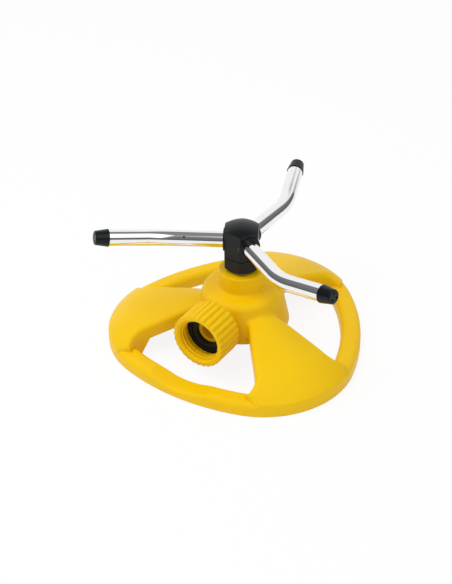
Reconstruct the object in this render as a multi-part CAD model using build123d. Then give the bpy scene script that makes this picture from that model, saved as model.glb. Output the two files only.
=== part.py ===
from build123d import *
import os
from math import acos, cos, hypot, pi, radians, sin, sqrt, tan

# Three-arm rotary lawn sprinkler, in millimetres, +Z up.
# The origin lies on the rotor's axis at ground level, and the hose inlet points along -Y.

# Base ring, seen from above: three lobes at the spokes, three flatter waists between them
spoke_count = 3
first_spoke_angle = 90.0
lobe_radius = 85.0
lobe_centre_offset = 28.0
waist_inset = 10.4
bar_width = 12.6
bar_height = 8.6
bar_edge_radius = 4.0
wall = 2.4

# Hose dip in the top of the front bar
dip_depth = 3.4
dip_half_length = 21.0
dip_edge_radius = 1.5

# Spokes: a top on its own cone that rolls over into the lobe, with a skirt along each side
spoke_cone_offset = 25.0
spoke_root_radius = 28.0
spoke_root_height = 30.0
spoke_slope_angle = 14.3
spoke_shoulder_run = 21.0
lobe_rim_height = 7.5
spoke_root_half_width = 10.4
spoke_splay_angle = 21.2
flare_run = 24.0
flare_radius = 9.0
flare_turn = 80.0
skirt_depth = 10.0
skirt_end_run = 22.0
crest_radius = 3.0
spoke_blend_radius = 2.6
rib_thickness = 2.0
rib_depth = 4.5

# Turret in the middle of the base
turret_bottom = 13.6
turret_bottom_radius = 29.4
turret_shoulder_height = 37.4
turret_shoulder_radius = 24.6
turret_edge_radius = 4.5
neck_radius = 14.3
neck_foot_rise = 1.2
neck_foot_radius = 1.8
neck_top = 50.6
neck_edge_radius = 0.8

# Water way inside the turret
inlet_height = 25.3
inlet_boss_radius = 11.0
inlet_boss_reach = 29.6
tower_radius = 8.6
nipple_seat_depth = 20.0
way_radius = 4.6
riser_radius = 3.2
fit_clearance = 0.04
running_clearance = 0.05
face_clearance = 0.2

# Hose coupling: swivel nut, washer and the nipple that carries them
nut_mouth_reach = 50.0
nut_length = 20.6
nut_root_radius = 16.7
nut_rib_count = 28
nut_rib_radius = 1.5
nut_rib_height = 0.85
nut_rear_edge = 1.6
nut_front_edge = 0.4
thread_radius = 13.5
thread_lead_in = 1.3
pocket_relief = 0.5
washer_recess = 9.6
washer_thickness = 3.0
washer_outer_clearance = 0.35
washer_bore_radius = 7.4
washer_groove_radius = 10.2
washer_groove_width = 0.9
washer_groove_depth = 0.6
washer_ear_width = 4.2
washer_ear_height = 1.0
washer_ear_turn = 35.0
nipple_radius = 8.2
nipple_bore_radius = 5.4
nipple_flange_thickness = 2.4
nipple_flange_clearance = 0.6
nut_lip_thickness = 3.0
nut_rear_recess_radius = 13.2

# Seals: square-cut rubber rings in grooves a little wider than the ring
seal_width = 1.0
spindle_seal_width = 0.8
groove_room = 1.3
socket_seal_reach = 7.6

# Spindle: the hollow stem that the rotor turns on
spindle_radius = 4.0
spindle_bore_radius = 2.6
spindle_seat_depth = 13.5
spindle_head_radius = 6.8
spindle_head_thickness = 2.5
spindle_seal_depth = 6.0
thrust_washer_radius = 8.6
thrust_washer_thickness = 1.6

# Rotor: domed hexagonal hub above a shorter hexagonal collar
rotor_rest_angle = -1.5
hex_across_flats = 20.6
hex_corner_radius = 0.9
collar_height = 8.8
collar_bottom_chamfer = 1.5
seam_height = 0.4
seam_inset = 1.2
hub_side_height = 17.4
dome_radius = 26.0
spigot_radius = 8.6
spigot_height = 2.6
head_pocket_radius = 7.2
head_floor_thickness = 5.0
seal_thickness = 2.6
chamber_top_wall = 3.4
arm_height_in_hub = 9.3
socket_floor_radius = 5.0
socket_boss_radius = 7.0
socket_boss_height = 0.7

# Arms: bent tubes with tapered nozzle caps
tube_radius = 5.0
tube_wall = 0.8
tube_bend_reach = 49.4
tube_bend_angle = 23.7
tube_bend_roll = 27.0
tube_bend_radius = 42.0
tube_outer_length = 32.8
side_jet_reach = 34.6
side_jet_lift = 40.0
side_jet_radius = 0.65
cap_base_radius = 5.45
cap_tip_radius = 4.25
cap_length = 8.4
cap_edge_radius = 0.7
cap_plug_length = 6.0
cap_plug_wall = 1.2
cap_end_wall = 2.0
cap_jet_count = 3
cap_jet_radius = 0.75
cap_jet_circle = 2.2

# Levels and places that follow from the sizes above
spoke_angles = [first_spoke_angle + 360.0 / spoke_count * k for k in range(spoke_count)]
collar_bottom = neck_top + thrust_washer_thickness + face_clearance * 2
collar_top = collar_bottom + collar_height
hub_bottom = collar_top
hub_corner_top = hub_bottom + hub_side_height
hex_corner_reach = hex_across_flats / 2 / cos(radians(30))
hub_top = hub_corner_top + dome_radius - sqrt(dome_radius**2 - hex_corner_reach**2)
arm_height = hub_bottom + arm_height_in_hub
spindle_bottom = neck_top - spindle_seat_depth
spindle_seal_height = neck_top - spindle_seal_depth
nipple_seal_reach = inlet_boss_reach - nipple_seat_depth / 2
head_bottom = collar_bottom + head_floor_thickness + face_clearance
head_top = head_bottom + spindle_head_thickness
spigot_top = collar_top + spigot_height
spindle_top = spigot_top - face_clearance
tube_bore = tube_radius - tube_wall
reach = 2 * lobe_radius
spoke_shoulder_radius = lobe_radius - spoke_shoulder_run
flare_start = lobe_radius - flare_run
skirt_end_radius = lobe_radius - skirt_end_run
skirt_foot_radius = lobe_radius - bar_width - wall


def ring_section(inner, outer, bottom, top):
    """Plain round ring about Z."""
    return Pos(0, 0, bottom) * extrude(Circle(outer) - Circle(inner), top - bottom)


def groove_span(middle, width):
    """Both ends of a seal groove that leaves its ring a little room along the axis."""
    half = width * groove_room / 2
    return middle - half, middle + half


def polar(radius, angle):
    """Point in the ground plane from a radius and an angle in degrees."""
    return Vector(radius * cos(radians(angle)), radius * sin(radians(angle)), 0)


def ring_outline(inset):
    """Three lobe arcs and three tangent waist arcs, moved inwards by an inset."""
    lobe_arc = lobe_radius - lobe_centre_offset
    pull = waist_inset * (2 * lobe_centre_offset - waist_inset) / (lobe_centre_offset - 2 * waist_inset)
    waist_arc = lobe_radius - waist_inset + pull
    half_step = 180.0 / spoke_count
    ends = []
    for angle in spoke_angles:
        lobe_centre = polar(lobe_centre_offset, angle)
        pair = []
        for side in (-half_step, half_step):
            waist_centre = polar(-pull, angle + side)
            pair.append(lobe_centre + (lobe_centre - waist_centre).normalized() * (lobe_arc - inset))
        ends.append(pair)
    edges = []
    for index, angle in enumerate(spoke_angles):
        start, end = ends[index]
        edges.append(ThreePointArc(start, polar(lobe_radius - inset, angle), end))
        waist_middle = polar(waist_arc - pull - inset, angle + half_step)
        edges.append(ThreePointArc(end, waist_middle, ends[(index + 1) % spoke_count][0]))
    return make_face(edges)


def fan_outline(inset):
    """Plan of the spoke along +X, inset: splayed sides that flare out and end straight across the bars."""
    splay = radians(spoke_splay_angle)
    sideways = Vector(-sin(splay), cos(splay))

    def side_point(along):
        half_width = spoke_root_half_width + (along - spoke_root_radius) * tan(splay)
        return Vector(along, half_width) - sideways * inset

    start = side_point(spoke_root_radius - 2 * wall)
    turn = side_point(flare_start)
    radius = flare_radius + inset
    centre = turn + sideways * radius
    end_angle = splay + radians(flare_turn)
    tip = centre + Vector(sin(end_angle), -cos(end_angle)) * flare_radius
    across = (Vector(reach, 0) - tip).normalized()
    on_end = tip + Vector(across.Y, -across.X) * inset
    foot = on_end + across * (centre - on_end).dot(across)
    far = foot + across * sqrt(radius**2 - (centre - foot).length**2)
    halfway = (turn - centre).normalized() + (far - centre).normalized()
    middle = centre + halfway.normalized() * radius
    outer = on_end - across * (on_end.Y / across.Y)
    edges = [Line(start, turn), ThreePointArc(turn, middle, far), Line(far, outer)]
    mirrored = [edge.mirror(Plane.XZ) for edge in edges]
    return make_face(edges + mirrored + [Line(start, (start.X, -start.Y))])


def spoke_height(radius):
    """Height of the straight part of the spoke's top at a radius."""
    return spoke_root_height - (radius - spoke_root_radius) * tan(radians(spoke_slope_angle))


def spoke_profile(drop, lower):
    """Solid under the spoke's top, lowered by a drop, turned about the cone's own upright axis."""
    slope = radians(spoke_slope_angle)
    top = spoke_height(spoke_shoulder_radius)
    run = lobe_radius - spoke_shoulder_radius
    fall = top - lobe_rim_height
    roll = (run**2 + fall**2) / (2 * (fall * cos(slope) - run * sin(slope)))
    centre = Vector(spoke_shoulder_radius - roll * sin(slope), 0, top - roll * cos(slope))
    rim_angle = acos((lobe_radius - centre.X) / roll)

    def on_roll(angle):
        return centre + Vector(cos(angle), 0, sin(angle)) * roll - Vector(0, 0, drop)

    inner = Vector(spoke_cone_offset, 0, spoke_height(spoke_cone_offset) - drop)
    shoulder = on_roll(pi / 2 - slope)
    end = on_roll(rim_angle / 2)
    edges = [Line(inner, shoulder), ThreePointArc(shoulder, on_roll(rim_angle), end)]
    path = [end, *lower, inner]
    for first, second in zip(path, path[1:]):
        edges.append(Line(first, second))
    return revolve(make_face(edges), axis=Axis((spoke_cone_offset, 0, 0), (0, 0, 1)))


def spoke_envelope():
    """Everything between the skirt's lower edge and the spoke's top, down to the ground near the ring."""
    return spoke_profile(0, [
        Vector(skirt_foot_radius, 0, -wall),
        Vector(skirt_end_radius, 0, spoke_height(skirt_end_radius) - skirt_depth),
        Vector(spoke_cone_offset, 0, spoke_height(spoke_cone_offset) - skirt_depth)])


def spoke_hollow():
    """Everything under the spoke's inner skin."""
    return spoke_profile(wall, [Vector(spoke_cone_offset, 0, -2 * wall)])


def crest_edges(solid):
    """Edges where the spoke's top meets its side walls, outside the turret."""
    steepest_top = cos(radians(70))
    tops = [f for f in solid.faces() if f.normal_at(f.center()).Z > steepest_top]
    walls = [f for f in solid.faces() if abs(f.normal_at(f.center()).Z) < steepest_top / 10]
    wall_edges = [e for f in walls for e in f.edges()]
    rims = [e for f in tops for e in f.edges() if any(e.is_same(w) for w in wall_edges)]
    return [e for e in rims if hypot(e.center().X, e.center().Y) > spoke_root_radius]


def spoke_outer(angle):
    """One spoke with its lobe, its top edges rounded."""
    plan = fan_outline(0) & Rot(0, 0, -angle) * ring_outline(0)
    block = extrude(plan, spoke_root_height * 2) & spoke_envelope()
    return Rot(0, 0, angle) * fillet(crest_edges(block), crest_radius)


def spoke_core(angle):
    """The hollow under one spoke, with a stiffening rib left standing along its middle."""
    plan = fan_outline(wall) & Rot(0, 0, -angle) * ring_outline(wall)
    plan -= Circle(turret_bottom_radius)
    hollow = Pos(0, 0, -wall) * extrude(plan, spoke_root_height * 2) & spoke_hollow()
    rib_top = -wall / 2
    rib_foot = -wall - rib_depth
    rib_ends = (turret_shoulder_radius, flare_start)
    rib_side = [Vector(r, 0, spoke_height(r) + rib_top) for r in rib_ends]
    rib_side += [Vector(r, 0, spoke_height(r) + rib_foot) for r in reversed(rib_ends)]
    rib = extrude(make_face(Polyline(*rib_side, close=True)), rib_thickness / 2, both=True)
    return Rot(0, 0, angle) * (hollow - rib)


def ring_outer():
    """The ring between the lobes: a flat-footed bar with rounded upper edges and a hose dip in front."""
    bar = extrude(ring_outline(0) - ring_outline(bar_width), bar_height)
    rims = bar.faces().sort_by(Axis.Z)[-1].edges()
    bar = fillet(rims, bar_edge_radius)
    dip_radius = (dip_half_length**2 + dip_depth**2) / (2 * dip_depth)
    dip_floor = bar_height - dip_depth
    dip = Pos(0, -reach / 2, dip_floor + dip_radius) * Rot(90, 0, 0) * Cylinder(dip_radius, reach)
    bar -= dip
    bar_middle = lobe_radius - waist_inset - bar_width / 2
    dip_face = bar.faces().sort_by_distance(Vector(0, -bar_middle, dip_floor))[0]
    return fillet(dip_face.edges(), dip_edge_radius)


def ring_core():
    """The channel under the ring."""
    channel = ring_outline(wall) - ring_outline(bar_width - wall)
    return Pos(0, 0, -wall) * extrude(channel, bar_height - dip_depth)


def turret_radius(height):
    """Radius of the turret's sloping wall at a height."""
    lean = (turret_bottom_radius - turret_shoulder_radius) / (turret_shoulder_height - turret_bottom)
    return turret_bottom_radius - lean * (height - turret_bottom)


def spoke_seams(solid):
    """Edges where the spokes' tops and side walls meet the turret's wall."""
    lowest = spoke_root_height - skirt_depth + wall / 2
    highest = turret_shoulder_height - turret_edge_radius
    seams = []
    for edge in solid.edges():
        middle = edge.center()
        off_wall = abs(hypot(middle.X, middle.Y) - turret_radius(middle.Z))
        if off_wall < wall / 2 and lowest < middle.Z < highest and edge.geom_type != GeomType.LINE:
            seams.append(edge)
    return seams


def turret_outer():
    """Two-step turret, with the shoulder and the neck rounded in the section."""
    foot = turret_shoulder_height + neck_foot_rise
    section = make_face(Polyline(
        (0, 0, turret_bottom), (turret_bottom_radius, 0, turret_bottom),
        (turret_shoulder_radius, 0, turret_shoulder_height), (neck_radius, 0, foot),
        (neck_radius, 0, neck_top), (0, 0, neck_top), close=True))
    rounded = [(turret_shoulder_radius, turret_shoulder_height, turret_edge_radius),
               (neck_radius, foot, neck_foot_radius), (neck_radius, neck_top, neck_edge_radius)]
    for radius, height, blend in rounded:
        corner = section.vertices().sort_by_distance(Vector(radius, 0, height))[0]
        section = fillet(corner, blend)
    return revolve(section, axis=Axis.Z)


def turret_core():
    """The hollow of the turret's lower body, open below."""
    ceiling = turret_shoulder_height - wall
    low = turret_bottom - wall
    top_radius = turret_radius(ceiling) - wall
    section = make_face(Polyline(
        (0, 0, low), (turret_radius(low) - wall, 0, low), (top_radius, 0, ceiling), (0, 0, ceiling), close=True))
    corner = section.vertices().sort_by_distance(Vector(top_radius, 0, ceiling))[0]
    return revolve(fillet(corner, turret_edge_radius - wall / 2), axis=Axis.Z)


def along_inlet(shape):
    """Carry a shape built along +Z from the origin onto the inlet's axis, pointing out along -Y."""
    return Pos(0, 0, inlet_height) * Rot(90, 0, 0) * shape


def make_base():
    """Moulded base: ring, spokes and turret, hollow underneath, with the water way inside."""
    body = turret_outer()
    for angle in spoke_angles:
        body += spoke_outer(angle)
    body = fillet(spoke_seams(body), spoke_blend_radius)
    body += ring_outer()
    body -= ring_core()
    for angle in spoke_angles:
        body -= spoke_core(angle)
    body -= turret_core()
    tower = Pos(0, 0, inlet_height) * extrude(Circle(tower_radius), turret_shoulder_height - inlet_height)
    inlet_boss = along_inlet(Pos(0, 0, -tower_radius) * extrude(Circle(inlet_boss_radius),
                                                                inlet_boss_reach + tower_radius))
    body += tower
    body += inlet_boss
    seat = along_inlet(Pos(0, 0, inlet_boss_reach - nipple_seat_depth)
                       * extrude(Circle(nipple_radius + fit_clearance), nipple_seat_depth))
    way = along_inlet(Pos(0, 0, -way_radius) * extrude(Circle(way_radius), inlet_boss_reach + way_radius))
    riser = Pos(0, 0, inlet_height) * extrude(Circle(riser_radius), neck_top - inlet_height)
    socket = Pos(0, 0, spindle_bottom) * extrude(Circle(spindle_radius + fit_clearance), spindle_seat_depth)
    body -= seat
    body -= way
    body -= riser
    body -= socket
    return body


def washer_back():
    """Distance from the rotor's axis to the back of the hose washer."""
    return nut_mouth_reach - washer_recess - washer_thickness


def flange_back():
    """Distance from the rotor's axis to the back of the nipple's flange."""
    return washer_back() - face_clearance - nipple_flange_thickness


def make_inlet_nipple():
    """Flanged pipe, pressed into the turret, that the nut swivels on."""
    seat_end = inlet_boss_reach - nipple_seat_depth + face_clearance
    flange_radius = thread_radius - nipple_flange_clearance
    pipe = Pos(0, 0, seat_end) * extrude(Circle(nipple_radius), flange_back() - seat_end)
    flange = Pos(0, 0, flange_back()) * extrude(Circle(flange_radius), nipple_flange_thickness)
    groove = ring_section(nipple_radius - seal_width, nipple_radius, *groove_span(nipple_seal_reach, seal_width))
    bore = Pos(0, 0, seat_end) * extrude(Circle(nipple_bore_radius), nut_mouth_reach)
    return along_inlet(pipe + flange - groove - bore)


def make_nipple_seal():
    """Square-cut rubber ring that seals the nipple in the turret."""
    return along_inlet(ring_section(nipple_radius - seal_width + fit_clearance, nipple_radius,
                                    nipple_seal_reach - seal_width / 2, nipple_seal_reach + seal_width / 2))


def make_coupling_nut():
    """Ribbed swivel nut with a threaded mouth and an inner lip that bears on the nipple's flange."""
    rear = nut_mouth_reach - nut_length
    lip_front = flange_back() - face_clearance
    crown = nut_root_radius + nut_rib_height
    rib_centre = crown - nut_rib_radius
    grip = Circle(nut_root_radius) + [
        Rot(0, 0, 360.0 / nut_rib_count * k) * Pos(rib_centre, 0) * Circle(nut_rib_radius)
        for k in range(nut_rib_count)]
    body = Pos(0, 0, rear) * extrude(grip, nut_length)
    top = nut_mouth_reach
    section = Polyline((0, 0, rear), (crown - nut_rear_edge, 0, rear), (crown, 0, rear + nut_rear_edge),
                       (crown, 0, top - nut_front_edge), (crown - nut_front_edge, 0, top), (0, 0, top),
                       close=True)
    body &= revolve(make_face(section), axis=Axis.Z)
    lead_foot = top - thread_lead_in
    pocket = thread_radius + pocket_relief
    pocket_top = top - washer_recess + washer_ear_height + face_clearance
    socket = Polyline((0, 0, lip_front), (pocket, 0, lip_front), (pocket, 0, pocket_top),
                      (thread_radius, 0, pocket_top), (thread_radius, 0, lead_foot),
                      (thread_radius + thread_lead_in, 0, top), (0, 0, top), close=True)
    body -= revolve(make_face(socket), axis=Axis.Z)
    body -= Pos(0, 0, rear) * extrude(Circle(nipple_radius + running_clearance), nut_length)
    lip_back = lip_front - nut_lip_thickness
    body -= Pos(0, 0, rear) * extrude(Circle(nut_rear_recess_radius), lip_back - rear)
    return along_inlet(body)


def make_hose_washer():
    """Rubber hose washer with a groove in its face and ears that hold it in the nut."""
    outer = thread_radius + pocket_relief - washer_outer_clearance
    front = washer_back() + washer_thickness
    ring = ring_section(washer_bore_radius, outer, washer_back(), front)
    groove = ring_section(washer_groove_radius - washer_groove_width / 2,
                          washer_groove_radius + washer_groove_width / 2,
                          front - washer_groove_depth, front)
    ears = Rectangle(washer_ear_width, 2 * outer) & (Circle(outer) - Circle(outer - washer_ear_width / 2))
    ears = Pos(0, 0, front) * extrude(ears, washer_ear_height)
    return along_inlet(Rot(0, 0, washer_ear_turn) * (ring - groove + ears))


def make_spindle():
    """Hollow stem pressed into the neck, with a head that the rotor hangs on."""
    stem = ring_section(spindle_bore_radius, spindle_radius, spindle_bottom, spindle_top)
    head = ring_section(spindle_bore_radius, spindle_head_radius, head_bottom, head_top)
    groove = ring_section(spindle_radius - spindle_seal_width, spindle_radius,
                          *groove_span(spindle_seal_height, spindle_seal_width))
    return stem + head - groove


def make_spindle_seal():
    """Square-cut rubber ring that seals the spindle in the neck."""
    half = spindle_seal_width / 2
    return ring_section(spindle_radius - spindle_seal_width + fit_clearance, spindle_radius,
                        spindle_seal_height - half, spindle_seal_height + half)


def make_thrust_washer():
    """Slippery washer between the neck and the turning collar."""
    return ring_section(spindle_radius + running_clearance, thrust_washer_radius,
                        neck_top, neck_top + thrust_washer_thickness)


def hexagon():
    """Rotor outline: a hexagon with flats square to the arms and softened corners."""
    plan = RegularPolygon(hex_corner_reach, 6, rotation=30)
    return fillet(plan.vertices(), hex_corner_radius)


def make_rotor_collar():
    """Lower hexagon of the rotor: hangs on the spindle's head and plugs into the hub."""
    body = Pos(0, 0, collar_bottom) * extrude(hexagon(), collar_height - seam_height)
    start = hex_corner_reach - collar_bottom_chamfer
    cone = Polyline((0, 0, collar_bottom), (start, 0, collar_bottom),
                    (start + collar_height, 0, collar_top), (0, 0, collar_top), close=True)
    body &= revolve(make_face(cone), axis=Axis.Z)
    seam = hex_across_flats / 2 - seam_inset
    body += Pos(0, 0, collar_top - seam_height) * extrude(Circle(seam), seam_height)
    body += Pos(0, 0, collar_top) * extrude(Circle(spigot_radius), spigot_height)
    body -= Pos(0, 0, collar_bottom) * extrude(Circle(spindle_radius + running_clearance), collar_height)
    pocket_floor = collar_bottom + head_floor_thickness
    body -= Pos(0, 0, pocket_floor) * extrude(Circle(head_pocket_radius), spigot_top - pocket_floor)
    return body


def make_rotor_seal():
    """Rubber cup washer between the spindle's head and the hub."""
    top = spigot_top - face_clearance / 2
    return ring_section(spindle_radius + 2 * running_clearance, head_pocket_radius - running_clearance,
                        top - seal_thickness, top)


def arm_angles():
    """Directions of the three arms at rest."""
    return [angle + rotor_rest_angle for angle in spoke_angles]


def along_arm(angle, shape):
    """Carry a shape built along +Z from the rotor's axis onto one arm's inner run."""
    return Pos(0, 0, arm_height) * Rot(0, 0, angle) * Rot(0, 90, 0) * shape


def dome_envelope():
    """Round bar with a spherical top, which gives the hexagon its domed end."""
    sphere_centre = hub_top - dome_radius
    middle = (acos(hex_corner_reach / dome_radius) + pi / 2) / 2
    edges = [Line((0, 0, hub_bottom), (hex_corner_reach, 0, hub_bottom)),
             Line((hex_corner_reach, 0, hub_bottom), (hex_corner_reach, 0, hub_corner_top)),
             ThreePointArc((hex_corner_reach, 0, hub_corner_top),
                           (dome_radius * cos(middle), 0, sphere_centre + dome_radius * sin(middle)),
                           (0, 0, hub_top)),
             Line((0, 0, hub_top), (0, 0, hub_bottom))]
    return revolve(make_face(edges), axis=Axis.Z)


def make_rotor_hub():
    """Domed hexagonal hub with a water chamber, three tube sockets and the collar's seat."""
    height = hub_top - hub_bottom
    body = Pos(0, 0, hub_bottom) * Rot(0, 0, rotor_rest_angle + first_spoke_angle) * extrude(hexagon(), height)
    body &= dome_envelope()
    flat = hex_across_flats / 2
    for angle in arm_angles():
        body += along_arm(angle, extrude(Circle(socket_boss_radius), flat + socket_boss_height))
    chamber_top = hub_top - chamber_top_wall
    body -= Pos(0, 0, hub_bottom) * extrude(Circle(spigot_radius + fit_clearance),
                                            spigot_top + face_clearance - hub_bottom)
    body -= Pos(0, 0, hub_bottom) * extrude(Circle(socket_floor_radius - tube_wall / 2), chamber_top - hub_bottom)
    for angle in arm_angles():
        socket = Pos(0, 0, socket_floor_radius) * extrude(Circle(tube_radius + fit_clearance),
                                                          flat + socket_boss_height - socket_floor_radius)
        passage = extrude(Circle(tube_bore - tube_wall / 2), flat)
        groove = ring_section(tube_radius, tube_radius + seal_width, *groove_span(socket_seal_reach, seal_width))
        body -= along_arm(angle, socket)
        body -= along_arm(angle, passage)
        body -= along_arm(angle, groove)
    return body


def make_tube_seal(angle):
    """Square-cut rubber ring that seals one arm in its socket."""
    half = seal_width / 2
    return along_arm(angle, ring_section(tube_radius + fit_clearance, tube_radius + seal_width - fit_clearance,
                                         socket_seal_reach - half, socket_seal_reach + half))


def outer_run():
    """Direction of a tube's outer run, for an arm along +X: bent sideways and rolled upwards."""
    bend = radians(tube_bend_angle)
    roll = radians(tube_bend_roll)
    return Vector(cos(bend), sin(bend) * cos(roll), sin(bend) * sin(roll))


def tube_end():
    """Outer end of the tube, for an arm along +X at height zero."""
    return Vector(tube_bend_reach, 0, 0) + outer_run() * tube_outer_length


def make_arm_tube(angle):
    """Thin-walled bent tube with a small side jet in its inner run."""
    inner_end = socket_floor_radius + face_clearance / 2
    path = FilletPolyline((inner_end, 0, 0), (tube_bend_reach, 0, 0), tube_end(), radius=tube_bend_radius)
    start = Plane(origin=(inner_end, 0, 0), z_dir=(1, 0, 0))
    tube = sweep(start * (Circle(tube_radius) - Circle(tube_bore)), path=path)
    lift = radians(side_jet_lift)
    jet = Plane(origin=(side_jet_reach, 0, 0), z_dir=(0, cos(lift), sin(lift)))
    tube -= jet * extrude(Circle(side_jet_radius), 2 * tube_radius)
    return Pos(0, 0, arm_height) * Rot(0, 0, angle) * tube


def make_nozzle_cap(angle):
    """Tapered cap plugged into the tube's end, with a ring of small jets in its face."""
    plug = tube_bore - fit_clearance
    bore = plug - cap_plug_wall
    section = Polyline((0, 0, -cap_plug_length), (plug, 0, -cap_plug_length), (plug, 0, 0),
                       (cap_base_radius, 0, 0), (cap_tip_radius, 0, cap_length), (0, 0, cap_length), close=True)
    section = make_face(section)
    tip = section.vertices().filter_by(lambda v: v.X > bore and v.Z > cap_length / 2)
    cap = revolve(fillet(tip, cap_edge_radius), axis=Axis.Z)
    depth = cap_plug_length + cap_length - cap_end_wall
    cap -= Pos(0, 0, -cap_plug_length) * extrude(Circle(bore), depth)
    for k in range(cap_jet_count):
        place = polar(cap_jet_circle, 360.0 / cap_jet_count * k)
        cap -= Pos(place.X, place.Y, 0) * extrude(Circle(cap_jet_radius), cap_length)
    seat = Plane(origin=tube_end(), x_dir=(0, 0, 1), z_dir=outer_run())
    return Pos(0, 0, arm_height) * Rot(0, 0, angle) * (seat * cap)


pieces = {
    "base": make_base(),
    "inlet_nipple": make_inlet_nipple(),
    "nipple_seal": make_nipple_seal(),
    "coupling_nut": make_coupling_nut(),
    "hose_washer": make_hose_washer(),
    "spindle": make_spindle(),
    "spindle_seal": make_spindle_seal(),
    "thrust_washer": make_thrust_washer(),
    "rotor_collar": Rot(0, 0, rotor_rest_angle + first_spoke_angle) * make_rotor_collar(),
    "rotor_seal": make_rotor_seal(),
    "rotor_hub": make_rotor_hub(),
}
for number, arm_angle in enumerate(arm_angles(), start=1):
    pieces[f"arm_tube_{number}"] = make_arm_tube(arm_angle)
    pieces[f"tube_seal_{number}"] = make_tube_seal(arm_angle)
    pieces[f"nozzle_cap_{number}"] = make_nozzle_cap(arm_angle)

os.makedirs("parts", exist_ok=True)
for name, piece in pieces.items():
    export_step(piece, f"parts/{name}.step")
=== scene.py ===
import logging
from dataclasses import dataclass
from enum import Enum
from typing import Any

import bpy
import numpy as np
from mathutils import Matrix, Vector


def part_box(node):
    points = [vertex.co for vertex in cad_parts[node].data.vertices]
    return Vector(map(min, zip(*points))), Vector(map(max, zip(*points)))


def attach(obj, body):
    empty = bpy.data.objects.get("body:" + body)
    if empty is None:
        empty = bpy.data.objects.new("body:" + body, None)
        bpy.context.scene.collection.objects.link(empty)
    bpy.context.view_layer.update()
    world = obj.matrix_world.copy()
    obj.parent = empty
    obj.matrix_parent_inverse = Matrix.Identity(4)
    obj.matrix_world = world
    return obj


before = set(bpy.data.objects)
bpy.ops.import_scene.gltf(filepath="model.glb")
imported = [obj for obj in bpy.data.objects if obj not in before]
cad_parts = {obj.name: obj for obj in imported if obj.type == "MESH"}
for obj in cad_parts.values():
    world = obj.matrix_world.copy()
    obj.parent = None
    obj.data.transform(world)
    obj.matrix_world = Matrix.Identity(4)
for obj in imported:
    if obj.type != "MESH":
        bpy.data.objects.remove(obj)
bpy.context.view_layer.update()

MM = 0.001
WHITE = (1.0, 1.0, 1.0, 1.0)

# The sRGB standard's curve: a straight foot below the knee and a power above it.
SRGB_TOP = 255.0
SRGB_KNEE = 0.04045
SRGB_FOOT = 12.92
SRGB_OFFSET = 0.055
SRGB_POWER = 2.4

# Socket numbers of a colour mix node, whose names are shared by its other data types.
MIX_FACTOR = 0
MIX_FIRST = 6
MIX_SECOND = 7
MIX_RESULT = 2

# Character of each noise pattern; its scale comes from the finish.
FLOW_NOISE = {"Detail": 3.0, "Roughness": 0.55, "Distortion": 0.6}
GRAIN_NOISE = {"Detail": 2.0, "Roughness": 0.6}
HAZE_NOISE = {"Detail": 4.0, "Roughness": 0.6, "Distortion": 1.2}
LINE_NOISE = {"Detail": 1.0}
# Noise values over which the roughness goes from its lowest to its highest.
GRAIN_SPAN = (0.3, 0.7)
HAZE_SPAN = (0.35, 0.75)
# Rays that find the rounded normal at each sharp edge.
EDGE_SAMPLES = 6
# Height of a unit direction, from level to straight up.
LEVEL_TO_OVERHEAD = (0.0, 1.0)
FULL_TURN = 2 * np.pi

log = logging.getLogger("sprinkler")


class Body(Enum):
    """The bodies that pieces ride on."""

    BASE = "base"
    COUPLING = "coupling"
    ROTOR = "rotor"


def linear(hex_colour: str) -> tuple[float, float, float, float]:
    """Turn an sRGB hex colour into linear RGBA.

    Args:
        hex_colour: six hex digits after a hash sign.

    Returns:
        Linear red, green, blue and an alpha of one.
    """
    srgb = np.array(list(bytes.fromhex(hex_colour[1:]))) / SRGB_TOP
    power = ((srgb + SRGB_OFFSET) / (1.0 + SRGB_OFFSET)) ** SRGB_POWER
    rgb = np.where(srgb <= SRGB_KNEE, srgb / SRGB_FOOT, power)
    return (float(rgb[0]), float(rgb[1]), float(rgb[2]), 1.0)


def add_node(tree: bpy.types.NodeTree, kind: str, settings: dict[Any, Any] | None = None,
             links: dict[Any, bpy.types.NodeSocket] | None = None) -> bpy.types.Node:
    """Add a node with its settings and its incoming links.

    Args:
        tree: the node tree to add to.
        kind: the node's type name.
        settings: input values by socket name or number, and node properties by property name.
        links: source sockets by input name or number.

    Returns:
        The new node.
    """
    node = tree.nodes.new(kind)
    for key, value in (settings or {}).items():
        if isinstance(key, int) or key in node.inputs:
            node.inputs[key].default_value = value
        else:
            setattr(node, key, value)
    for key, source in (links or {}).items():
        tree.links.new(source, node.inputs[key])
    return node


def add_math(tree: bpy.types.NodeTree, operation: str, first: bpy.types.NodeSocket,
             second: bpy.types.NodeSocket | float) -> bpy.types.NodeSocket:
    """Add one step of arithmetic on two values.

    Args:
        tree: the node tree to add to.
        operation: the math node's operation.
        first: the first value's socket.
        second: the second value, or its socket.

    Returns:
        The result's socket.
    """
    settings: dict[Any, Any] = {"operation": operation}
    links = {0: first}
    if isinstance(second, bpy.types.NodeSocket):
        links[1] = second
    else:
        settings[1] = second
    return add_node(tree, "ShaderNodeMath", settings, links).outputs[0]


def add_ramp(tree: bpy.types.NodeTree, value: bpy.types.NodeSocket, span: tuple[float, float],
             levels: tuple[float, float] = (0.0, 1.0),
             shape: str = "LINEAR") -> bpy.types.NodeSocket:
    """Add a ramp that carries one span of values to another and is level outside it.

    Args:
        tree: the node tree to add to.
        value: the value that is looked up.
        span: values at which the ramp starts and ends.
        levels: results at the start and at the end.
        shape: the ramp's interpolation.

    Returns:
        The result's socket.
    """
    settings = {"interpolation_type": shape, "From Min": span[0], "From Max": span[1],
                "To Min": levels[0], "To Max": levels[1]}
    return add_node(tree, "ShaderNodeMapRange", settings, {"Value": value}).outputs["Result"]


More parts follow.
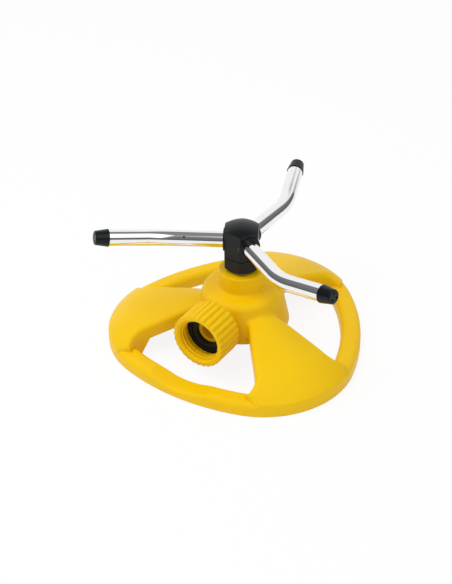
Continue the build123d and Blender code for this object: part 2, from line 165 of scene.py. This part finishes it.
def add_noise(tree: bpy.types.NodeTree, place: bpy.types.NodeSocket, size_mm: float,
              character: dict[str, float]) -> bpy.types.NodeSocket:
    """Add a noise pattern whose features have a real size.

    Args:
        tree: the node tree to add to.
        place: coordinates in metres.
        size_mm: size of the pattern's features.
        character: the noise node's other settings.

    Returns:
        The socket of the pattern's value.
    """
    settings = {"Scale": 1.0 / (size_mm * MM), **character}
    return add_node(tree, "ShaderNodeTexNoise", settings, {"Vector": place}).outputs["Fac"]


def add_tint(tree: bpy.types.NodeTree, factor: bpy.types.NodeSocket, first: str,
             second: str) -> bpy.types.NodeSocket:
    """Add a blend of two colours.

    Args:
        tree: the node tree to add to.
        factor: share of the second colour.
        first: hex colour where the factor is zero.
        second: hex colour where the factor is one.

    Returns:
        The blended colour's socket.
    """
    settings = {"data_type": "RGBA", MIX_FIRST: linear(first), MIX_SECOND: linear(second)}
    return add_node(tree, "ShaderNodeMix", settings, {MIX_FACTOR: factor}).outputs[MIX_RESULT]


def add_blend(tree: bpy.types.NodeTree, share: bpy.types.NodeSocket, first: bpy.types.Node,
              second: bpy.types.Node) -> bpy.types.Node:
    """Add a blend of two shaders.

    Args:
        tree: the node tree to add to.
        share: share of the second shader.
        first: the shader where the share is zero.
        second: the shader where the share is one.

    Returns:
        The blend's node.
    """
    return add_node(tree, "ShaderNodeMixShader", {},
                    {0: share, 1: first.outputs[0], 2: second.outputs[0]})


def empty_material(name: str) -> tuple[bpy.types.Material, bpy.types.NodeTree]:
    """Make a material with an empty node tree.

    Args:
        name: the material's name.

    Returns:
        The material and its node tree.
    """
    material = bpy.data.materials.new(name)
    material.use_nodes = True
    material.node_tree.nodes.clear()
    return material, material.node_tree


@dataclass(frozen=True)
class MouldedFinish:
    """A moulded plastic or rubber: a tint that drifts with the melt's flow, over a fine grain.

    The flow gives the eye slow changes of tone, and the grain breaks up the gloss. Sharp edges
    catch the light on a small radius, as they do out of a real mould.
    """

    name: str
    colour: str
    deep: str
    roughness: float
    gloss_spread: float
    ior: float
    specular: float
    flow_mm: float
    grain_mm: float
    grain_height_mm: float
    edge_mm: float

    def build(self) -> bpy.types.Material:
        """Build the material.

        Returns:
            The finished material.
        """
        material, tree = empty_material(self.name)
        place = add_node(tree, "ShaderNodeTexCoord").outputs["Object"]
        flow = add_noise(tree, place, self.flow_mm, FLOW_NOISE)
        grain = add_noise(tree, place, self.grain_mm, GRAIN_NOISE)
        gloss = add_ramp(tree, grain, GRAIN_SPAN, (self.roughness - self.gloss_spread,
                                                   self.roughness + self.gloss_spread))
        edge = add_node(tree, "ShaderNodeBevel",
                        {"samples": EDGE_SAMPLES, "Radius": self.edge_mm * MM})
        bump = add_node(tree, "ShaderNodeBump",
                        {"Strength": 1.0, "Distance": self.grain_height_mm * MM},
                        {"Height": grain, "Normal": edge.outputs["Normal"]})
        shader = add_node(tree, "ShaderNodeBsdfPrincipled",
                          {"IOR": self.ior, "Specular IOR Level": self.specular},
                          {"Base Color": add_tint(tree, flow, self.deep, self.colour),
                           "Roughness": gloss, "Normal": bump.outputs["Normal"]})
        add_node(tree, "ShaderNodeOutputMaterial", {}, {"Surface": shader.outputs["BSDF"]})
        return material


@dataclass(frozen=True)
class MetalFinish:
    """A plated or turned metal: a faint haze of handling, crossed by fine tool lines."""

    name: str
    colour: str
    haze: str
    roughness: float
    haze_roughness: float
    haze_mm: float
    line_mm: float
    line_height_mm: float

    def build(self) -> bpy.types.Material:
        """Build the material.

        Returns:
            The finished material.
        """
        material, tree = empty_material(self.name)
        place = add_node(tree, "ShaderNodeTexCoord").outputs["Object"]
        smear = add_noise(tree, place, self.haze_mm, HAZE_NOISE)
        lines = add_noise(tree, place, self.line_mm, LINE_NOISE)
        gloss = add_ramp(tree, smear, HAZE_SPAN, (self.roughness, self.haze_roughness))
        bump = add_node(tree, "ShaderNodeBump",
                        {"Strength": 1.0, "Distance": self.line_height_mm * MM},
                        {"Height": lines})
        shader = add_node(tree, "ShaderNodeBsdfPrincipled", {"Metallic": 1.0},
                          {"Base Color": add_tint(tree, smear, self.colour, self.haze),
                           "Roughness": gloss, "Normal": bump.outputs["Normal"]})
        add_node(tree, "ShaderNodeOutputMaterial", {}, {"Surface": shader.outputs["BSDF"]})
        return material


# Polypropylene, moulded in a lightly eroded tool: warm yellow with a broad soft sheen and no
# sharp highlight. The grain of a real tool is about 0.2 mm; it is drawn coarser, to just show.
YELLOW_POLYPROPYLENE = MouldedFinish(
    "moulded_yellow_polypropylene", colour="#facd00", deep="#f4c100", roughness=0.42,
    gloss_spread=0.05, ior=1.49, specular=0.22, flow_mm=38.0, grain_mm=0.9,
    grain_height_mm=0.012, edge_mm=0.6)
# Moulded nylon: a dense cool black that turns grey only where light grazes it.
BLACK_NYLON = MouldedFinish(
    "moulded_black_nylon", colour="#11171a", deep="#0d1215", roughness=0.34,
    gloss_spread=0.07, ior=1.53, specular=0.22, flow_mm=12.0, grain_mm=0.6,
    grain_height_mm=0.012, edge_mm=0.5)
# Nitrile rubber from a bead-blasted mould: black and nearly without gloss.
BLACK_RUBBER = MouldedFinish(
    "moulded_nitrile_rubber", colour="#1a1b1c", deep="#131415", roughness=0.62,
    gloss_spread=0.10, ior=1.52, specular=0.3, flow_mm=9.0, grain_mm=0.5,
    grain_height_mm=0.02, edge_mm=0.2)
# Natural acetal, its creamy colour darkened to a dull brown as painted shade, so that the
# washer's rim under the collar shows as a dark shadow line; a smooth sheen.
SHADE_DARKENED_ACETAL = MouldedFinish(
    "natural_acetal_darkened_as_painted_shade", colour="#97895c", deep="#7f7249", roughness=0.30,
    gloss_spread=0.05, ior=1.48, specular=0.5, flow_mm=10.0, grain_mm=0.6,
    grain_height_mm=0.008, edge_mm=0.15)
# Drawn steel tube with bright chrome plating: a mirror, slightly clouded in places.
BRIGHT_CHROME = MetalFinish(
    "chrome_plated_drawn_steel", colour="#f5f5f6", haze="#e9eaec", roughness=0.045,
    haze_roughness=0.10, haze_mm=16.0, line_mm=2.4, line_height_mm=0.0006)
# Turned brass: warm metal, satin from fine tool marks.
TURNED_BRASS = MetalFinish(
    "turned_brass", colour="#c9a254", haze="#b08a42", roughness=0.20,
    haze_roughness=0.32, haze_mm=7.0, line_mm=0.7, line_height_mm=0.004)


def dress(body: Body, node: str, material: bpy.types.Material) -> None:
    """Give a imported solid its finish.

    Args:
        body: the body that the node belongs to.
        node: the node's name.
        material: the finish to show.
    """
    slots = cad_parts[node].data.materials
    slots.clear()
    slots.append(material)
    log.info("dressed %s of %s with %s", node, body.value, material.name)


def grid_faces(rows: int, columns: int) -> np.ndarray:
    """Quads of a tube's grid that closes on itself across its columns.

    Args:
        rows: rings along the tube.
        columns: points round each ring.

    Returns:
        One row of four vertex numbers for each face.
    """
    ring, place = np.meshgrid(np.arange(rows - 1), np.arange(columns), indexing="ij")
    after = (place + 1) % columns
    corners = [ring * columns + place, ring * columns + after, (ring + 1) * columns + after,
               (ring + 1) * columns + place]
    return np.stack(corners, axis=-1).reshape(-1, 4)


def mesh_piece(name: str, points: np.ndarray, faces: list[list[int]],
               material: bpy.types.Material, body: Body) -> bpy.types.Object:
    """Make a smooth mesh object that rides on a body.

    Args:
        name: the piece's name.
        points: vertex places in metres.
        faces: vertex numbers of each face.
        material: the finish to show.
        body: the body that carries the piece.

    Returns:
        The new object.
    """
    mesh = bpy.data.meshes.new(name)
    mesh.from_pydata(points, [], faces)
    mesh.polygons.foreach_set("use_smooth", np.ones(len(mesh.polygons), dtype=bool))
    mesh.materials.append(material)
    mesh.update()
    piece = bpy.data.objects.new(name, mesh)
    bpy.context.scene.collection.objects.link(piece)
    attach(piece, body.value)
    log.info("built %s on %s", name, body.value)
    return piece


@dataclass
class MouldedBase:
    """The standing half: base, nipple, spindle and their seals."""

    plastic: bpy.types.Material
    rubber: bpy.types.Material
    brass: bpy.types.Material
    acetal: bpy.types.Material

    def dress(self) -> None:
        """Give each solid of the standing half its finish."""
        for node in ("base", "inlet_nipple"):
            dress(Body.BASE, node, self.plastic)
        for node in ("nipple_seal", "spindle_seal"):
            dress(Body.BASE, node, self.rubber)
        dress(Body.BASE, "spindle", self.brass)
        # The thrust washer's acetal is darkened as painted shade under the collar.
        dress(Body.BASE, "thrust_washer", self.acetal)


@dataclass
class HoseCoupling:
    """The swivel nut with its washer, and the hose thread inside its mouth."""

    plastic: bpy.types.Material
    rubber: bpy.types.Material
    pitch_mm: float = 2.209
    bore_radius_mm: float = 13.5
    ridge_height_mm: float = 1.0
    ridge_width_mm: float = 1.5
    root_mm: float = 0.25
    mouth_inset_mm: float = 2.2
    turns: float = 2.6
    run_out_turns: float = 0.35
    rings_per_turn: int = 72
    ring_points: int = 16
    crest_power: float = 0.7

    def dress(self) -> None:
        """Give the nut and the washer their finishes."""
        dress(Body.COUPLING, "coupling_nut", self.plastic)
        dress(Body.COUPLING, "hose_washer", self.rubber)

    def build_thread(self) -> bpy.types.Object:
        """Build the right-handed hose thread.

        A closed section is carried along a helix about the nut's axis. Its width goes with the
        cosine of the section angle along the axis. Its height goes with a power of the sine
        towards the axis, and a small root lies in the nut's wall. The height rises and dies away
        on a smooth cubic over the first and last part of a turn.

        Returns:
            The thread's object.
        """
        low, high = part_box("coupling_nut")
        axis_x = (low.x + high.x) / 2
        axis_z = (low.z + high.z) / 2
        rings = int(self.turns * self.rings_per_turn) + 1
        turn = np.linspace(0.0, self.turns, rings)[:, None]
        section = np.linspace(0.0, FULL_TURN, self.ring_points, endpoint=False)[None, :]
        fade = np.clip(np.minimum(turn, self.turns - turn) / self.run_out_turns, 0.0, 1.0)
        fade = fade * fade * (3 - 2 * fade)
        crest = np.clip(np.sin(section), 0.0, 1.0) ** self.crest_power
        inward = crest * self.ridge_height_mm * fade
        outward = np.clip(-np.sin(section), 0.0, 1.0) * self.root_mm
        radius = (self.bore_radius_mm - inward + outward) * MM
        across = np.cos(section) * self.ridge_width_mm / 2
        along = (self.mouth_inset_mm + self.pitch_mm * turn + across) * MM
        angle = FULL_TURN * turn
        points = np.stack([axis_x + radius * np.cos(angle), low.y + along,
                           axis_z + radius * np.sin(angle)], axis=-1).reshape(-1, 3)
        faces = grid_faces(rings, self.ring_points).tolist()
        last = (rings - 1) * self.ring_points
        faces.append(list(range(self.ring_points))[::-1])
        faces.append(list(range(last, last + self.ring_points)))
        return mesh_piece("hose_thread", points, faces, self.plastic, Body.COUPLING)


@dataclass
class Rotor:
    """The turning half: hub, collar, tubes, caps and seals."""

    nylon: bpy.types.Material
    chrome: bpy.types.Material
    rubber: bpy.types.Material
    arm_count: int = 3

    def dress(self) -> None:
        """Give each solid of the rotor its finish."""
        dress(Body.ROTOR, "rotor_hub", self.nylon)
        dress(Body.ROTOR, "rotor_collar", self.nylon)
        dress(Body.ROTOR, "rotor_seal", self.rubber)
        for arm in range(1, self.arm_count + 1):
            dress(Body.ROTOR, f"arm_tube_{arm}", self.chrome)
            dress(Body.ROTOR, f"nozzle_cap_{arm}", self.nylon)
            dress(Body.ROTOR, f"tube_seal_{arm}", self.rubber)


@dataclass(frozen=True)
class MirrorBoard:
    """A flat white board of the studio that only mirrors see.

    Its edges are slopes: a direction's share across or up the board, divided by its share
    towards the board.
    """

    turn_deg: float
    lift_deg: float
    sides: tuple[float, float]
    ends: tuple[float, float]
    soft: float
    level: float
    nearest: float = 0.01

    def add(self, tree: bpy.types.NodeTree, heading: bpy.types.NodeSocket,
            camera_deg: float) -> bpy.types.NodeSocket:
        """Add the board to the world's nodes.

        Args:
            tree: the world's node tree.
            heading: the direction that is looked up.
            camera_deg: the camera's azimuth, from which the board's turn is counted.

        Returns:
            A socket with the board's level on the board and zero off it.
        """
        turn, lift = np.radians([camera_deg + self.turn_deg, self.lift_deg])
        towards = np.array([np.sin(turn) * np.cos(lift), -np.cos(turn) * np.cos(lift),
                            np.sin(lift)])
        across = np.array([np.cos(turn), np.sin(turn), 0.0])
        ahead, aside, above = (
            add_node(tree, "ShaderNodeVectorMath", {"operation": "DOT_PRODUCT", 1: aim.tolist()},
                     {0: heading}).outputs["Value"]
            for aim in (towards, across, np.cross(towards, across)))
        ahead = add_math(tree, "MAXIMUM", ahead, self.nearest)
        fades: list[bpy.types.NodeSocket] = []
        for share, edges in ((aside, self.sides), (above, self.ends)):
            slope = add_math(tree, "DIVIDE", share, ahead)
            for edge, inward in zip(edges, (self.soft, -self.soft)):
                fades.append(add_ramp(tree, slope, (edge - inward, edge + inward),
                                      shape="SMOOTHSTEP"))
        cover = add_math(tree, "MULTIPLY", fades[0], self.level)
        for fade in fades[1:]:
            cover = add_math(tree, "MULTIPLY", cover, fade)
        return cover


# The paper backdrop behind the object: it fills the tubes with broad white bands.
BACKDROP = MirrorBoard(turn_deg=180.0, lift_deg=0.0, sides=(-1.45, 1.05), ends=(-1.0, 1.38),
                       soft=0.16, level=1.0)
# A lamp's panel, up to the right of the camera: bright streaks on the tubes and a soft sheen
# on the plastic.
LAMP_PANEL = MirrorBoard(turn_deg=40.0, lift_deg=50.0, sides=(-0.5, 0.6), ends=(-0.42, 0.45),
                         soft=0.2, level=1.7)


@dataclass(frozen=True)
class SoftLamp:
    """A square soft lamp that mirrors don't see; they see the surroundings' panel instead."""

    name: str
    power: float
    size: float
    place: tuple[float, float, float]

    def add(self, target: Vector) -> None:
        """Hang the lamp so that it faces a point.

        Args:
            target: the point that it faces.
        """
        data = bpy.data.lights.new(self.name, "AREA")
        data.energy = self.power
        data.size = self.size
        lamp = bpy.data.objects.new(self.name, data)
        turn = (Vector(self.place) - target).to_track_quat("Z", "Y").to_matrix().to_4x4()
        lamp.matrix_world = Matrix.Translation(self.place) @ turn
        lamp.visible_glossy = False
        bpy.context.scene.collection.objects.link(lamp)


# High on the front left: it shapes the base and gives the faint shadow.
KEY_LAMP = SoftLamp("key_lamp", power=5.2, size=0.75, place=(-0.36, -0.34, 0.96))
# Low on the right: it opens the sides that the key leaves dull.
FILL_LAMP = SoftLamp("fill_lamp", power=0.6, size=0.6, place=(0.75, -0.35, 0.45))


@dataclass
class Studio:
    """Floor, soft light, surroundings and the camera at the photograph's viewing angle."""

    azimuth_deg: float = 32.9
    elevation_deg: float = 34.0
    roll_deg: float = -0.6
    distance: float = 0.780
    target_height: float = 0.045
    focal_px: float = 1265.0
    shift_px: tuple[float, float] = (16.1, -17.0)
    image_long_px: float = 584.0
    sensor_mm: float = 36.0
    floor_half_width: float = 4.0
    floor_drop: float = 0.0003
    floor_colour: str = "#fafafa"
    floor_glow: float = 0.88
    side_light: float = 0.34
    top_light: float = 0.80
    wall_level: float = 0.11
    ceiling_level: float = 0.26

    def target(self) -> Vector:
        """Point on the rotor's axis that the camera and the lamps face.

        Returns:
            The point, in metres.
        """
        return Vector((0.0, 0.0, self.target_height))

    def camera_axes(self) -> tuple[Vector, Vector, Vector]:
        """Camera axes from azimuth, elevation and roll.

        Returns:
            Unit vectors to the right, up and back of the camera.
        """
        azimuth, elevation, roll = np.radians([self.azimuth_deg, self.elevation_deg,
                                               self.roll_deg])
        back = Vector((np.sin(azimuth) * np.cos(elevation), -np.cos(azimuth) * np.cos(elevation),
                       np.sin(elevation)))
        right = Vector((np.cos(azimuth), np.sin(azimuth), 0.0))
        up = back.cross(right)
        return (right * np.cos(roll) + up * np.sin(roll),
                up * np.cos(roll) - right * np.sin(roll), back)

    def place_camera(self) -> None:
        """Create the camera and make it the scene's own."""
        right, up, back = self.camera_axes()
        data = bpy.data.cameras.new("photo_camera")
        data.sensor_width = self.sensor_mm
        data.lens = self.focal_px * self.sensor_mm / self.image_long_px
        data.shift_x = -self.shift_px[0] / self.image_long_px
        data.shift_y = self.shift_px[1] / self.image_long_px
        camera = bpy.data.objects.new("photo_camera", data)
        turn = Matrix((right, up, back)).transposed().to_4x4()
        place = self.target() + back * self.distance
        camera.matrix_world = Matrix.Translation(place) @ turn
        bpy.context.scene.collection.objects.link(camera)
        bpy.context.scene.camera = camera

    def build_floor(self) -> None:
        """Lay the floor of matt white paper.

        It glows towards the camera and in mirrors, so that it fades into the white background,
        and its matt share keeps the object's shadow.
        """
        signs = np.array([[-1, -1], [1, -1], [1, 1], [-1, 1]], dtype=float)
        points = np.column_stack([signs * self.floor_half_width,
                                  np.full(len(signs), -self.floor_drop)])
        mesh = bpy.data.meshes.new("floor")
        mesh.from_pydata(points, [], [[0, 1, 2, 3]])
        material, tree = empty_material("matt_white_paper")
        rays = add_node(tree, "ShaderNodeLightPath").outputs
        seen = add_math(tree, "MAXIMUM", rays["Is Camera Ray"], rays["Is Glossy Ray"])
        seen = add_math(tree, "MAXIMUM", seen, rays["Is Transmission Ray"])
        share = add_math(tree, "MULTIPLY", seen, self.floor_glow)
        paper = add_node(tree, "ShaderNodeBsdfDiffuse", {"Color": linear(self.floor_colour)})
        glow = add_node(tree, "ShaderNodeEmission", {"Color": WHITE, "Strength": 1.0})
        mixed = add_blend(tree, share, paper, glow)
        add_node(tree, "ShaderNodeOutputMaterial", {}, {"Surface": mixed.outputs[0]})
        mesh.materials.append(material)
        floor = bpy.data.objects.new("floor", mesh)
        bpy.context.scene.collection.objects.link(floor)

    def build_surroundings(self) -> None:
        """Set the world: soft light from overhead, and white to the camera.

        Mirrors see a dark room with two white boards, the backdrop and the lamp's panel. The
        ceiling is a little lighter than the walls.
        """
        world = bpy.data.worlds.new("studio")
        bpy.context.scene.world = world
        world.use_nodes = True
        tree = world.node_tree
        tree.nodes.clear()
        heading = add_node(tree, "ShaderNodeTexCoord").outputs["Generated"]
        height = add_node(tree, "ShaderNodeSeparateXYZ", {}, {0: heading}).outputs["Z"]
        tone = add_ramp(tree, height, LEVEL_TO_OVERHEAD, (self.wall_level, self.ceiling_level))
        for board in (BACKDROP, LAMP_PANEL):
            tone = add_math(tree, "MAXIMUM", tone, board.add(tree, heading, self.azimuth_deg))
        light = add_ramp(tree, height, LEVEL_TO_OVERHEAD, (self.side_light, self.top_light))
        soft = add_node(tree, "ShaderNodeBackground", {"Color": WHITE}, {"Strength": light})
        mirror = add_node(tree, "ShaderNodeBackground", {"Color": WHITE}, {"Strength": tone})
        white = add_node(tree, "ShaderNodeBackground", {"Color": WHITE, "Strength": 1.0})
        rays = add_node(tree, "ShaderNodeLightPath").outputs
        room = add_blend(tree, rays["Is Glossy Ray"], soft, mirror)
        seen = add_math(tree, "MAXIMUM", rays["Is Camera Ray"], rays["Is Transmission Ray"])
        shown = add_blend(tree, seen, room, white)
        add_node(tree, "ShaderNodeOutputWorld", {}, {"Surface": shown.outputs[0]})

    def build(self) -> None:
        """Build the whole studio."""
        self.place_camera()
        for lamp in (KEY_LAMP, FILL_LAMP):
            lamp.add(self.target())
        self.build_floor()
        self.build_surroundings()
        bpy.context.scene.view_settings.view_transform = "Standard"
        log.info("built the studio")


def main() -> None:
    """Build the finishes, dress the sub-assemblies and set up the studio."""
    logging.basicConfig(level=logging.INFO, format="%(name)s: %(message)s")
    plastic = YELLOW_POLYPROPYLENE.build()
    nylon = BLACK_NYLON.build()
    rubber = BLACK_RUBBER.build()
    chrome = BRIGHT_CHROME.build()
    MouldedBase(plastic, rubber, TURNED_BRASS.build(), SHADE_DARKENED_ACETAL.build()).dress()
    coupling = HoseCoupling(plastic, rubber)
    coupling.dress()
    coupling.build_thread()
    Rotor(nylon, chrome, rubber).dress()
    Studio().build()


if __name__ == "__main__":
    main()
